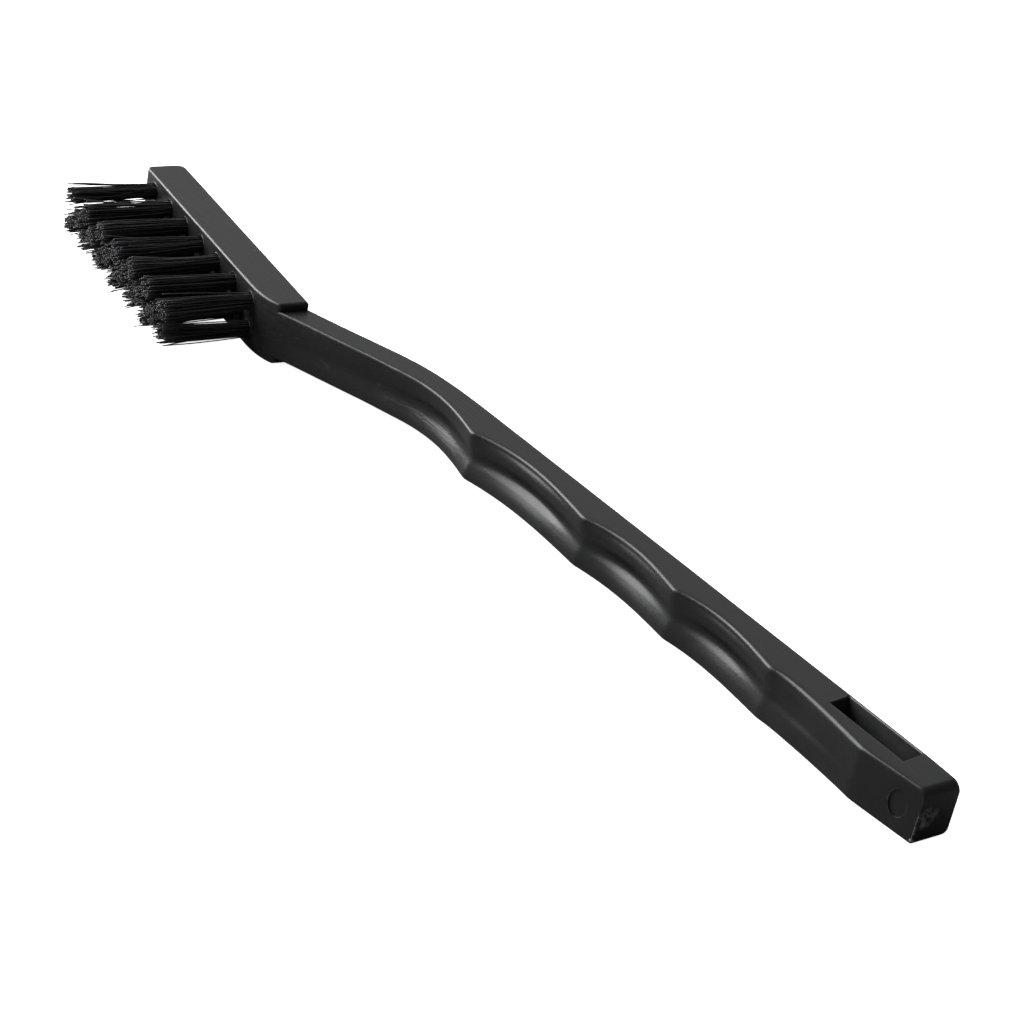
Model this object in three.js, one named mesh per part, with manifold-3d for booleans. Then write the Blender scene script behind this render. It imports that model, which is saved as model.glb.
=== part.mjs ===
// Hand wheel brush: a moulded handle with finger scoops and twenty staple-set tufts.
// Millimetres. +X runs to the hanging slot, bristles face -Y, +Z is up with the brush on its side.
// The outline is drawn from the head's tip (x = 0), the straight back (y = 0) and mid thickness.
import * as THREE from "three";
import Module from "manifold-3d";

const wasm = await Module();
wasm.setup();

const LENGTH = 178;
const HALF_THICK = 3.8;
const HEAD_HALF_THICK = 5;
const HEAD_LEAN = 0.1565; // radians the head turns towards its back
const HEAD_TIP_Y = -6.38; // front corner of the head's tip
const HEAD_DEPTH = 6.4;
const HEAD_LENGTH = 49;
const HEAD_EDGE = 0.5;
const HEAD_LIP_FLAT = 42.6; // the bristle face is straight up to here
const NECK_START = 41;
const FRONT_EDGE_RADIUS = 0.6;
const HOLLOW_WIDTH = 0.42; // of half the thickness: the groove down the front is this narrow
const END_RADIUS = 0.5; // the tail's end rounds over to both side faces
const END_SLANT = { from: 172, y: -2.8, slope: 0.089 }; // the end leans out towards the back
const SLANT_DEPTH = LENGTH - END_SLANT.from;

const TUFT_ROW_GAP = 2.36;
const TUFT_FIRST = 4.12;
const TUFT_PITCH = 6.4;
const TUFTS_IN_ROW = 7;
const TUFT_LENGTH = 14.6; // out of the bristle face
const TUFT_RADIUS = 1.2;
const TUFT_TIP_RADIUS = 1.65;
const HOLE_RADIUS = 1.35;
const HOLE_DEPTH = 4.2;
const TUFT_ROOT = 2.5; // depth of a tuft's folded end
const ANCHOR = { width: 1.8, height: 1.3, thick: 0.4, depth: 3.4 };

const SLOT = { x0: 159.15, x1: 171.95, y0: -3.8, y1: -0.5 };
const PIN_MARK = { fromEnd: 2.6, radius: 1.8, depth: 0.25 };
const GATE_MARK = { y: -4.15, z: -0.2, radius: 1.3, height: 0.25 };

// The grip's front edge: a ridge at each end and a hollow of `sag` between, deepest before the middle.
const GRIP = [
  { x0: 88.65, y0: -6.29, x1: 112.8, y1: -5.64, sag: 2.05, skew: 0.8 },
  { x0: 112.8, y0: -5.64, x1: 131.6, y1: -5.59, sag: 1.65, skew: 0.85 },
  { x0: 131.6, y0: -5.59, x1: 150.3, y1: -5.81, sag: 1.55, skew: 0.8 },
  { x0: 150.3, y0: -5.81, x1: 168.05, y1: -6.9, sag: 0.7, skew: 0.6 },
  { x0: 168.05, y0: -6.9, x1: 178, y1: -5.79, sag: 0, skew: 1 },
];
const NECK_FRONT = [
  [41, -12.5], [44, -13.08], [45.5, -13.2], [47.1, -13.02], [48.5, -12.63], [50, -12.1],
  [52, -11.36], [56, -10.05], [60.6, -8.55], [65, -7.1], [69.1, -5.92],
  [73, -4.85], [76.5, -4.4], [80, -4.45], [84, -5.1], [88.65, -6.29],
];
const NECK_BACK = [
  [41, -7.35], [46.5, -7.5], [49, -7.3], [50.3, -6.95], [55.8, -5.2], [61, -3.43],
  [66.3, -1.7], [70, -0.75], [74, -0.2], [79, 0], [178, 0],
];
// How deep the groove down the middle of the front is, along the length.
const HOLLOW = [
  [41, 0], [47, 0], [53, 0.2], [62, 0.4], [72, 0.85], [80, 1.1], [88.65, 0.75], [100, 1.1],
  [112.8, 0.75], [122, 1.05], [131.6, 0.7], [141, 1], [150.3, 0.6], [154, 0.4], [160, 0.05],
  [164, 0], [178, 0],
];
// The back edges are rounder along the neck than along the grip.
const BACK_EDGE = [[41, 1], [70, 1.1], [82, 0.4], [178, 0.4]];

// A smooth curve through [x, value] pairs, with the neighbours' chord as slope at each.
function through(points, x) {
  const last = points.length - 1;
  let i = 0;
  while (i < last - 1 && x > points[i + 1][0]) i += 1;
  const slope = (k) => {
    const a = points[Math.max(0, k - 1)];
    const b = points[Math.min(last, k + 1)];
    return (b[1] - a[1]) / (b[0] - a[0]);
  };
  const [x0, y0] = points[i];
  const [x1, y1] = points[i + 1];
  const w = x1 - x0;
  const t = Math.min(1, Math.max(0, (x - x0) / w));
  const h1 = t * t * (3 - 2 * t);
  const h2 = t * (1 - t) * (1 - t);
  const h3 = t * t * (t - 1);
  return y0 + (y1 - y0) * h1 + slope(i) * w * h2 + slope(i + 1) * w * h3;
}

function frontY(x) {
  if (x <= GRIP[0].x0) return through(NECK_FRONT, x);
  const g = GRIP.find((s) => x <= s.x1) ?? GRIP[GRIP.length - 1];
  const t = Math.min(1, Math.max(0, (x - g.x0) / (g.x1 - g.x0)));
  return g.y0 + (g.y1 - g.y0) * t + g.sag * Math.sin(Math.PI * t ** g.skew);
}

// One closed cross-section in [y, z]: rounded corners and a grooved front, counter-clockwise from +X.
function section(x) {
  const front = frontY(x);
  const back = Math.min(0, through(NECK_BACK, x));
  const hollow = Math.max(0, through(HOLLOW, x));
  const past = Math.max(0, (x - (LENGTH - END_RADIUS)) / END_RADIUS);
  const h = HALF_THICK - END_RADIUS * (1 - Math.sqrt(1 - past * past * 0.96));
  const pts = [];
  const corner = (y, z, r, start) => {
    for (let k = 0; k <= 2; k += 1) {
      const a = start + (k * Math.PI) / 4;
      pts.push([y + r * Math.cos(a), z + r * Math.sin(a)]);
    }
  };
  const rb = through(BACK_EDGE, x);
  const rf = FRONT_EDGE_RADIUS;
  corner(back - rb, h - rb, rb, 0);
  corner(front + rf, h - rf, rf, Math.PI / 2);
  for (let k = 1; k <= 11; k += 1) {
    const s = 1 - k / 6;
    pts.push([front + hollow * Math.exp(-((s / HOLLOW_WIDTH) ** 2)), s * (h - rf)]);
  }
  corner(front + rf, rf - h, rf, Math.PI);
  corner(back - rb, rb - h, rb, 1.5 * Math.PI);
  return pts;
}

function stations() {
  const xs = [];
  for (let x = NECK_START; x < GRIP[0].x0 - 1; x += 3.2) xs.push(x);
  for (const g of GRIP) {
    const steps = g.sag > 1 ? 10 : g.sag > 0 ? 7 : 1;
    for (let k = 0; k < steps; k += 1) xs.push(g.x0 + ((g.x1 - g.x0) * k) / steps);
  }
  for (const back of [1, 0.6, 0.3, 0.1, 0]) xs.push(LENGTH - back * END_RADIUS);
  return xs;
}

// A closed skin over rings of equal count, with a fan of triangles on each end.
function skin(rings) {
  const n = rings[0].length;
  const xyz = rings.flat(2);
  const index = [];
  for (let i = 0; i + 1 < rings.length; i += 1) {
    for (let j = 0; j < n; j += 1) {
      const a = i * n + j;
      const b = i * n + ((j + 1) % n);
      index.push(a, b, a + n, b, b + n, a + n);
    }
  }
  const middle = (ring) => [0, 1, 2].map((k) => ring.reduce((t, p) => t + p[k], 0) / n);
  xyz.push(...middle(rings[0]), ...middle(rings[rings.length - 1]));
  const first = rings.length * n;
  const end = (rings.length - 1) * n;
  for (let j = 0; j < n; j += 1) {
    index.push(first, (j + 1) % n, j);
    index.push(first + 1, end + j, end + ((j + 1) % n));
  }
  const g = new THREE.BufferGeometry();
  g.setAttribute("position", new THREE.Float32BufferAttribute(xyz, 3));
  g.setIndex(index);
  return g;
}

function solid(geometry) {
  const bare = new THREE.BufferGeometry();
  bare.setAttribute("position", geometry.getAttribute("position"));
  if (geometry.index) bare.setIndex(geometry.index);
  const g = bare.index ? bare.toNonIndexed() : bare;
  const p = g.getAttribute("position");
  const seen = new Map();
  const vert = [];
  const tri = [];
  for (let i = 0; i < p.count; i += 1) {
    const q = [p.getX(i), p.getY(i), p.getZ(i)].map((v) => Math.round(v * 1e4) / 1e4);
    const key = q.join();
    if (!seen.has(key)) {
      seen.set(key, vert.length / 3);
      vert.push(...q);
    }
    tri.push(seen.get(key));
  }
  const kept = [];
  for (let i = 0; i < tri.length; i += 3) {
    const [a, b, c] = tri.slice(i, i + 3);
    if (a !== b && b !== c && a !== c) kept.push(a, b, c);
  }
  const mesh = new wasm.Mesh({
    numProp: 3,
    vertProperties: new Float32Array(vert),
    triVerts: new Uint32Array(kept),
  });
  return new wasm.Manifold(mesh);
}

function geometryOf(made) {
  const m = made.getMesh();
  const g = new THREE.BufferGeometry();
  g.setAttribute("position", new THREE.BufferAttribute(new Float32Array(m.vertProperties), 3));
  g.setIndex(new THREE.BufferAttribute(new Uint32Array(m.triVerts), 1));
  return g;
}

function slanted(x, y) {
  const share = Math.max(0, (x - END_SLANT.from) / SLANT_DEPTH);
  return x + share * END_SLANT.slope * (y - END_SLANT.y);
}

function gripBody() {
  const rings = stations().map((x) => section(x).map(([y, z]) => [slanted(x, y), y, z]));
  return solid(skin(rings));
}

// Head frame: `along` runs down the bristle face from the tip, `out` leaves the face.
const ALONG = new THREE.Vector2(Math.cos(HEAD_LEAN), -Math.sin(HEAD_LEAN));
const OUT = new THREE.Vector2(-Math.sin(HEAD_LEAN), -Math.cos(HEAD_LEAN));

function headPoint(along, out) {
  return new THREE.Vector2(0, HEAD_TIP_Y)
    .addScaledVector(ALONG, along)
    .addScaledVector(OUT, out);
}

function headBody() {
  const e = HEAD_EDGE;
  const shape = new THREE.Shape();
  const go = (verb, ...pairs) => {
    const flat = pairs.flatMap(([a, o]) => headPoint(a, o).toArray());
    shape[verb](...flat);
  };
  const back = -HEAD_DEPTH + e;
  go("moveTo", [e, -1.3]);
  go("quadraticCurveTo", [e, -e], [1.5, -e]);
  go("lineTo", [HEAD_LIP_FLAT - 2, -e]);
  go("quadraticCurveTo", [HEAD_LIP_FLAT + 3, -e], [HEAD_LENGTH - 2 * e, -2.1]);
  go("lineTo", [HEAD_LENGTH - 2 * e, -2.1]);
  go("lineTo", [HEAD_LENGTH - e, back]);
  go("lineTo", [1.9, back]);
  go("quadraticCurveTo", [e, back], [e, back + 1.4]);
  const depth = 2 * (HEAD_HALF_THICK - e);
  const g = new THREE.ExtrudeGeometry(shape, {
    depth,
    bevelEnabled: true,
    bevelThickness: e,
    bevelSize: e,
    bevelSegments: 2,
    curveSegments: 6,
    steps: 1,
  });
  g.translate(0, 0, -depth / 2);
  return solid(g);
}

function boxAt(x0, x1, y0, y1, halfHeight) {
  const g = new THREE.BoxGeometry(x1 - x0, y1 - y0, 2 * halfHeight);
  g.translate((x0 + x1) / 2, (y0 + y1) / 2, 0);
  return solid(g);
}

// Where each tuft leaves the bristle face: two outer rows of seven and a staggered row of six.
function tuftSpots() {
  const spots = [];
  for (let i = 0; i < TUFTS_IN_ROW; i += 1) {
    const along = TUFT_FIRST + i * TUFT_PITCH;
    spots.push({ name: "upper_" + (i + 1), along, z: TUFT_ROW_GAP });
    spots.push({ name: "lower_" + (i + 1), along, z: -TUFT_ROW_GAP });
    if (i + 1 < TUFTS_IN_ROW) {
      spots.push({ name: "middle_" + (i + 1), along: along + TUFT_PITCH / 2, z: 0 });
    }
  }
  return spots;
}

// Sets an object so that its own +Y leaves the bristle face at a spot.
function seat(object, spot) {
  const p = headPoint(spot.along, 0);
  object.position.set(p.x, p.y, spot.z);
  object.rotation.set(0, 0, Math.PI - HEAD_LEAN);
}

function holeAt(spot) {
  const g = new THREE.CylinderGeometry(HOLE_RADIUS, HOLE_RADIUS, HOLE_DEPTH + 2, 14);
  g.translate(0, 1 - HOLE_DEPTH / 2, 0);
  const carrier = new THREE.Object3D();
  seat(carrier, spot);
  carrier.updateMatrixWorld(true);
  g.applyMatrix4(carrier.matrixWorld);
  return solid(g);
}

function pinMark() {
  const chamfer = GRIP[GRIP.length - 1];
  const g = new THREE.CylinderGeometry(PIN_MARK.radius, PIN_MARK.radius, 2 * PIN_MARK.depth, 20);
  const slope = Math.atan2(chamfer.y1 - chamfer.y0, chamfer.x1 - chamfer.x0);
  g.rotateZ(slope);
  const x = LENGTH - PIN_MARK.fromEnd;
  g.translate(x, frontY(x), 0);
  return solid(g);
}

function gateMark() {
  const { y, z, radius, height } = GATE_MARK;
  const g = new THREE.CylinderGeometry(radius * 0.8, radius, 2 * height, 18);
  g.rotateZ(-Math.PI / 2);
  g.translate(slanted(LENGTH, y), y, z);
  return solid(g);
}

function material(name, colour, roughness, metalness) {
  return new THREE.MeshStandardMaterial({ name, color: colour, roughness, metalness });
}

function handleMesh() {
  let body = gripBody().add(headBody()).add(gateMark());
  body = body.subtract(boxAt(SLOT.x0, SLOT.x1, SLOT.y0, SLOT.y1, 10));
  body = body.subtract(pinMark());
  for (const spot of tuftSpots()) body = body.subtract(holeAt(spot));
  const mesh = new THREE.Mesh(geometryOf(body), material("moulded_plastic", 0x1b1b1c, 0.5, 0));
  mesh.name = "handle";
  return mesh;
}

function tuftMesh(spot) {
  const span = TUFT_LENGTH + TUFT_ROOT;
  const profile = [
    [0, 0],
    [TUFT_RADIUS, 0],
    [TUFT_RADIUS, TUFT_ROOT + 1],
    [TUFT_TIP_RADIUS, span - 0.4],
    [TUFT_TIP_RADIUS - 0.35, span],
    [0, span],
  ].map(([r, y]) => new THREE.Vector2(r, y - TUFT_ROOT));
  const mesh = new THREE.Mesh(
    new THREE.LatheGeometry(profile, 12),
    material("nylon_filament", 0x0d0d0e, 0.45, 0),
  );
  mesh.name = "tuft_" + spot.name;
  seat(mesh, spot);
  return mesh;
}

function anchorMesh(spot) {
  const g = new THREE.BoxGeometry(ANCHOR.width, ANCHOR.height, ANCHOR.thick);
  g.translate(0, -ANCHOR.depth, 0);
  const mesh = new THREE.Mesh(g, material("anchor_wire", 0xb9a36a, 0.35, 1));
  mesh.name = "anchor_" + spot.name;
  seat(mesh, spot);
  return mesh;
}

// Puts the origin under the middle of the whole brush, on the surface it lies on.
function centred(group) {
  const box = new THREE.Box3().setFromObject(group);
  const middle = box.getCenter(new THREE.Vector3());
  for (const child of group.children) {
    child.position.x -= middle.x;
    child.position.y -= middle.y;
    child.position.z -= box.min.z;
  }
  return group;
}

function build() {
  const group = new THREE.Group();
  group.name = "wheel_brush";
  group.add(handleMesh());
  for (const spot of tuftSpots()) {
    group.add(tuftMesh(spot));
    group.add(anchorMesh(spot));
  }
  return centred(group);
}

export default build();
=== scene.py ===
"""A slim hand wheel brush lying on its side: the finished surfaces and materials over its CAD part.

Lengths named below are millimetres in the brush's own drawing: x from the head's tip to the tail,
y = 0 on the straight back with the bristles towards -y, z = 0 at mid thickness.
"""
import math

import bmesh
import bpy
import numpy as np
from mathutils import Matrix, Vector


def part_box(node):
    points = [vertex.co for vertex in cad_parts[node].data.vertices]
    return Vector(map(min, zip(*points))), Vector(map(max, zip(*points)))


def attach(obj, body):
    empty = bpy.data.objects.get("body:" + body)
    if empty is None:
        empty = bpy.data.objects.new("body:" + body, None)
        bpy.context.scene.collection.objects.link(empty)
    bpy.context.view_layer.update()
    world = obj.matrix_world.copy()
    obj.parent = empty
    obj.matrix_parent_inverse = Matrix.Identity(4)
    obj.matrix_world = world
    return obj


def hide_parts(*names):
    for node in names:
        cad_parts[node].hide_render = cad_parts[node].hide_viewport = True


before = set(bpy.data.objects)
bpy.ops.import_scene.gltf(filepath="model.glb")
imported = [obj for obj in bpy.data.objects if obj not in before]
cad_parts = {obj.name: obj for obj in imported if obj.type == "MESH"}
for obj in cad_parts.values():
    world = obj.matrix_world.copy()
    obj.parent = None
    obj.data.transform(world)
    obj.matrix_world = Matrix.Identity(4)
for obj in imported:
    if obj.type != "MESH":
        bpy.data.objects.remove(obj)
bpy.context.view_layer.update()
rng = np.random.default_rng(20)

MM = 0.001
HANDLE_LOW, HANDLE_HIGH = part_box("handle")
LENGTH = 178.0
GATE_HEIGHT = 0.25  # the CAD's gate mark stands this far out of the end face
NECK_START = 41.0
END_RADIUS = {"top": 1.2, "bottom": 0.4}
END_ROUNDED = 0.96  # how far round the end's edges turn: 1 is a whole quarter circle
HOLLOW_WIDTH = 0.46  # of the half thickness
HOLLOW_MIDDLE = -0.1  # the groove lies a little below mid thickness
LOWER_LIP_SAG = 0.52  # the scoops are this much as deep along the lower edge as along the upper
RIDGE_SOFTNESS = {"lips": 0.3, "between": 0.6}
HALF_THICK = 3.8
HEAD_HALF_THICK = 5.0
HEAD_LEAN = 0.1565  # radians
HEAD_TIP_Y = -6.38
HEAD_DEPTH = 6.4
HEAD_LENGTH = 49.0
HEAD_EDGE = 0.42
HEAD_LIP = (41.8, 48.9)  # the bristle face curves back to the neck between these places
TUFT_ROW_GAP = 2.36
TUFT_FIRST = 4.12
TUFT_PITCH = 6.4
TUFT_LENGTH = 14.6
HOLE_RADIUS = 1.34
TIP_RADIUS = 1.95
HOLE_DEPTH = 4.2
HOLE_CHAMFER = 0.12
HOLE_SIDES = 28
SLOT = {"x": (159.15, 171.95), "y": (-3.8, -0.5), "corner": 0.25, "bevel": 0.12}
END_SLANT = {"from": 172.0, "y": -2.8, "slope": 0.088}  # the end leans out towards the back
PIN_MARK = {"from_end": 3.5, "along": 1.35, "across": 1.95, "depth": 0.2, "sides": 48}
GATE_MARK = {"y": -4.15, "z": -0.35, "across": 1.35, "up": 1.75, "root": 0.3}
FLASH = {"y": -5.7, "from_z": 0.9, "radius": 0.12, "nub": 0.24, "sides": 10}
SHARP_ANGLE = {"handle": math.radians(38), "filament": math.radians(62)}

ALONG = np.array([math.cos(HEAD_LEAN), -math.sin(HEAD_LEAN), 0.0])
OUT = np.array([-math.sin(HEAD_LEAN), -math.cos(HEAD_LEAN), 0.0])
UP = np.array([0.0, 0.0, 1.0])
HEAD_CORNER = np.array([0.0, HEAD_TIP_Y, 0.0])


def in_frame(points):
    """Drawing millimetres to the part's metres: the tail, back and mid thickness are matched."""
    shift = np.array([
        HANDLE_HIGH.x - (LENGTH + GATE_HEIGHT) * MM,
        HANDLE_HIGH.y,
        (HANDLE_LOW.z + HANDLE_HIGH.z) / 2,
    ])
    return np.asarray(points, float) * MM + shift


# ---------------------------------------------------------------- shape of the grip

GRIP_RIDGES = np.array([
    [88.65, -6.29], [112.8, -5.64], [131.6, -5.59], [150.3, -5.81], [167.6, -6.86], [178.0, -5.79],
])
SCOOP_SAG = np.array([2.05, 1.65, 1.55, 0.7, 0.0])
SCOOP_SKEW = np.array([0.8, 0.85, 0.8, 0.6, 1.0])
NECK_FRONT = np.array([
    [41, -12.5], [44, -13.08], [45.5, -13.2], [47.1, -13.02], [48.5, -12.63], [50, -12.1],
    [52, -11.36], [56, -10.05], [60.6, -8.55], [65, -7.1], [69.1, -5.92],
    [73, -4.85], [76.5, -4.4], [80, -4.45], [84, -5.1], [88.65, -6.29],
])
NECK_BACK = np.array([
    [41, -7.35], [46.5, -7.5], [49, -7.3], [50.3, -6.95], [55.8, -5.2], [61, -3.43], [66.3, -1.7],
    [70, -0.75], [74, -0.2], [79, 0], [178, 0],
])
HOLLOW = np.array([
    [41, 0], [47, 0], [53, 0.2], [62, 0.4], [72, 0.85], [80, 1.1], [88.65, 0.75], [100, 1.1],
    [112.8, 0.75], [122, 1.05], [131.6, 0.7], [141, 1], [150.3, 0.6], [154, 0.4], [160, 0.05],
    [164, 0], [178, 0],
])
FRONT_EDGE = np.array([
    [41, 0.42], [80, 0.46], [100, 0.52], [145, 0.55], [153, 0.66], [166, 0.75], [169.5, 0.5],
    [178, 0.4],
])
LOWER_SWELL = np.array([
    [41, 0.05], [80, 0.1], [110, 0.2], [130, 0.3], [152, 0.45], [168, 0.2], [178, 0.3],
])
BACK_EDGE = np.array([[41, 0.9], [70, 0.9], [84, 0.35], [172, 0.35], [178, 0.7]])


def eased(t):
    """A soft step from 0 to 1: 3 t^2 - 2 t^3."""
    return t * t * (3 - 2 * t)


def through(points, x):
    """A smooth curve through (x, value) pairs: cubic Hermite pieces whose slope at each pair is
    the chord between its two neighbours."""
    px, py = points[:, 0], points[:, 1]
    before = np.maximum(np.arange(len(px)) - 1, 0)
    after = np.minimum(np.arange(len(px)) + 1, len(px) - 1)
    slope = (py[after] - py[before]) / (px[after] - px[before])
    i = np.clip(np.searchsorted(px, x, side="right") - 1, 0, len(px) - 2)
    w = px[i + 1] - px[i]
    t = np.clip((x - px[i]) / w, 0, 1)
    rise = eased(t)
    return (py[i] * (1 - rise) + py[i + 1] * rise
            + slope[i] * w * t * (1 - t) ** 2 - slope[i + 1] * w * t * t * (1 - t))


def front_line(x, softness=RIDGE_SOFTNESS["lips"], sag=1.0):
    """Front edge of the grip: the neck's curve, then a chord from ridge to ridge with a skewed sine
    hollow between. A narrow bell average rounds the ridges over, so that they catch the light."""
    offsets = np.linspace(-2.5, 2.5, 11) * softness
    weights = np.exp(-0.5 * (offsets / softness) ** 2)
    weights /= weights.sum()
    samples = np.minimum(np.asarray(x)[:, None] + offsets[None, :], GRIP_RIDGES[-1, 0])
    i = np.searchsorted(GRIP_RIDGES[:, 0], samples, side="right") - 1
    i = np.clip(i, 0, len(GRIP_RIDGES) - 2)
    x0, y0 = GRIP_RIDGES[i, 0], GRIP_RIDGES[i, 1]
    x1, y1 = GRIP_RIDGES[i + 1, 0], GRIP_RIDGES[i + 1, 1]
    t = np.clip((samples - x0) / (x1 - x0), 0, 1)
    grip = y0 + (y1 - y0) * t + sag * SCOOP_SAG[i] * np.sin(np.pi * t ** SCOOP_SKEW[i])
    neck = through(NECK_FRONT, np.minimum(samples, GRIP_RIDGES[0, 0]))
    return np.where(samples <= GRIP_RIDGES[0, 0], neck, grip) @ weights


def grip_stations():
    """Places along the grip, closer together near the ridges and round the tail's end."""
    top = END_RADIUS["top"]
    even = np.linspace(NECK_START, LENGTH - top, 270)
    near = (GRIP_RIDGES[:-1, 0][:, None] + np.linspace(-1.2, 1.2, 9)[None, :]).ravel()
    turn = LENGTH - top * (1 - np.sin(np.linspace(0, 0.48 * math.pi, 13)))
    return np.unique(np.round(np.concatenate([even, near, turn, [LENGTH]]), 4))


def slanted(x, y):
    """Shears the last few millimetres: x + share * slope * (y - middle), where share rises from 0
    to 1."""
    share = np.clip((x - END_SLANT["from"]) / (LENGTH - END_SLANT["from"]), 0, 1)
    return x + share * END_SLANT["slope"] * (y - END_SLANT["y"])


def grip_sections(x):
    """A ring for each station: a rectangle with rounded corners and a bell-shaped groove,
    hollow * exp(-((s - middle) / width)^2), down its front. Between the lips the ridges are softer,
    and the lower lip is less scooped than the upper. At the tail the top and the bottom draw in
    along quarter circles of their own."""
    front = front_line(x)
    low = front_line(x, sag=LOWER_LIP_SAG)
    soft = front_line(x, RIDGE_SOFTNESS["between"], (1 + LOWER_LIP_SAG) / 2)
    fade_end, fade_length = GRIP_RIDGES[-2, 0] - 6, 8
    scooped = np.clip((fade_end - x) / fade_length, 0, 1)
    soft = front + (soft - front) * scooped
    back = np.minimum(through(NECK_BACK, x), 0)
    hollow = np.maximum(through(HOLLOW, x), 0)
    half = {}
    for side, radius in END_RADIUS.items():
        past = np.clip((x - (LENGTH - radius)) / radius, 0, 1)
        half[side] = HALF_THICK - radius * (1 - np.sqrt(1 - past ** 2 * END_ROUNDED))
    top, bottom = half["top"], half["bottom"] + through(LOWER_SWELL, x)
    front_r = through(FRONT_EDGE, x)
    back_r = through(BACK_EDGE, x)
    ring_y, ring_z = [], []

    def col(values):
        return np.asarray(values)[:, None]

    def add(y, z):
        ring_y.append(y)
        ring_z.append(z)

    def corner(y, z, radius, quarter):
        turn = np.linspace(0, math.pi / 2, 7) + quarter * math.pi / 2
        add(col(y) + col(radius) * np.cos(turn), col(z) + col(radius) * np.sin(turn))

    flat = np.linspace(0, 1, 8)[1:-1]
    corner(back - back_r, top - back_r, back_r, 0)
    add(col(back - back_r) * (1 - flat) + col(front + front_r) * flat, col(top) + 0 * flat)
    corner(front + front_r, top - front_r, front_r, 1)
    s = np.linspace(1, -1, 43)[1:-1]
    reach = np.where(s > 0, col(top - front_r), col(bottom - front_r))
    high_lip = np.clip((s - 0.62) / 0.36, 0, 1) ** 2
    low_lip = eased(np.clip((-0.05 - s) / 0.35, 0, 1))
    line = col(front) * high_lip + col(low) * low_lip + col(soft) * (1 - high_lip - low_lip)
    add(line + col(hollow) * np.exp(-((s - HOLLOW_MIDDLE) / HOLLOW_WIDTH) ** 2), reach * s)
    corner(low + front_r, front_r - bottom, front_r, 2)
    add(col(low + front_r) * (1 - flat) + col(back - back_r) * flat, col(-bottom) + 0 * flat)
    corner(back - back_r, back_r - bottom, back_r, 3)
    s = np.linspace(-1, 1, 7)[1:-1]
    reach = np.where(s > 0, col(top - back_r), col(bottom - back_r))
    add(col(back) + 0 * s, reach * s)
    y = np.concatenate(ring_y, 1)
    z = np.concatenate(ring_z, 1)
    return np.stack([slanted(np.broadcast_to(col(x), y.shape), y), y, z], -1)


def ring_faces(rings, count, start=0):
    """Quads between neighbouring closed rings of `count` vertices each."""
    i, j = np.meshgrid(np.arange(rings - 1), np.arange(count), indexing="ij")
    a = start + i * count + j
    b = start + i * count + (j + 1) % count
    return np.stack([a, b, b + count, a + count], -1).reshape(-1, 4)


def end_caps(rings, count):
    """Two many-sided faces that close a tube of `rings` closed rings of `count` vertices."""
    last = (rings - 1) * count
    return [list(range(count))[::-1], list(range(last, last + count))]


def mesh_object(name, points, quads, caps=(), smooth=True):
    """An object from frame-space points, quads and a few many-sided caps."""
    mesh = bpy.data.meshes.new(name)
    faces = np.asarray(quads).tolist() + list(caps)
    mesh.from_pydata(np.asarray(points).tolist(), [], faces)
    mesh.validate()
    if smooth:
        mesh.polygons.foreach_set("use_smooth", np.ones(len(mesh.polygons), bool))
    obj = bpy.data.objects.new(name, mesh)
    bpy.context.scene.collection.objects.link(obj)
    return obj


def grip_object():
    """The neck, grip and tail: one tube through the rings of all stations, closed at both ends."""
    rings = grip_sections(grip_stations())
    n, m = rings.shape[:2]
    return mesh_object("grip", in_frame(rings.reshape(-1, 3)), ring_faces(n, m), end_caps(n, m))


# ---------------------------------------------------------------- shape of the head

def bend(a, b, c, steps):
    """Points of (1-t)^2 a + 2t(1-t) b + t^2 c, which leaves a, is pulled towards b and ends at c,
    without its last point."""
    t = np.linspace(0, 1, steps + 1)[:-1, None]
    return (1 - t) ** 2 * np.array(a) + 2 * t * (1 - t) * np.array(b) + t ** 2 * np.array(c)


def straight(a, b, steps):
    """Points of (1-t) a + t b, without its last point."""
    t = np.linspace(0, 1, steps + 1)[:-1, None]
    return (1 - t) * np.array(a) + t * np.array(b)


def head_outline():
    """The head's closed outline in (along, out): straight bristle face, a lip that curves back to
    the neck, a square shoulder, a straight back, and two rounded tip corners."""
    d = -HEAD_DEPTH
    lip_start, lip_end = HEAD_LIP
    return np.concatenate([
        bend((0.05, -1.25), (0.0, 0.0), (1.25, 0.0), 10),
        straight((1.25, 0.0), (lip_start, 0.0), 60),
        bend((lip_start, 0.0), (46.6, 0.0), (lip_end, -1.45), 16),
        bend((lip_end, -1.45), (49.15, -1.6), (49.15, -1.95), 4),
        straight((49.15, -1.95), (HEAD_LENGTH + 0.3, d + 0.3), 8),
        bend((HEAD_LENGTH + 0.3, d + 0.3), (HEAD_LENGTH + 0.3, d), (HEAD_LENGTH, d), 4),
        straight((HEAD_LENGTH, d), (1.7, d), 60),
        bend((1.7, d), (0.15, d), (0.1, d + 1.6), 10),
        straight((0.1, d + 1.6), (0.05, -1.25), 6),
    ])


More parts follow.
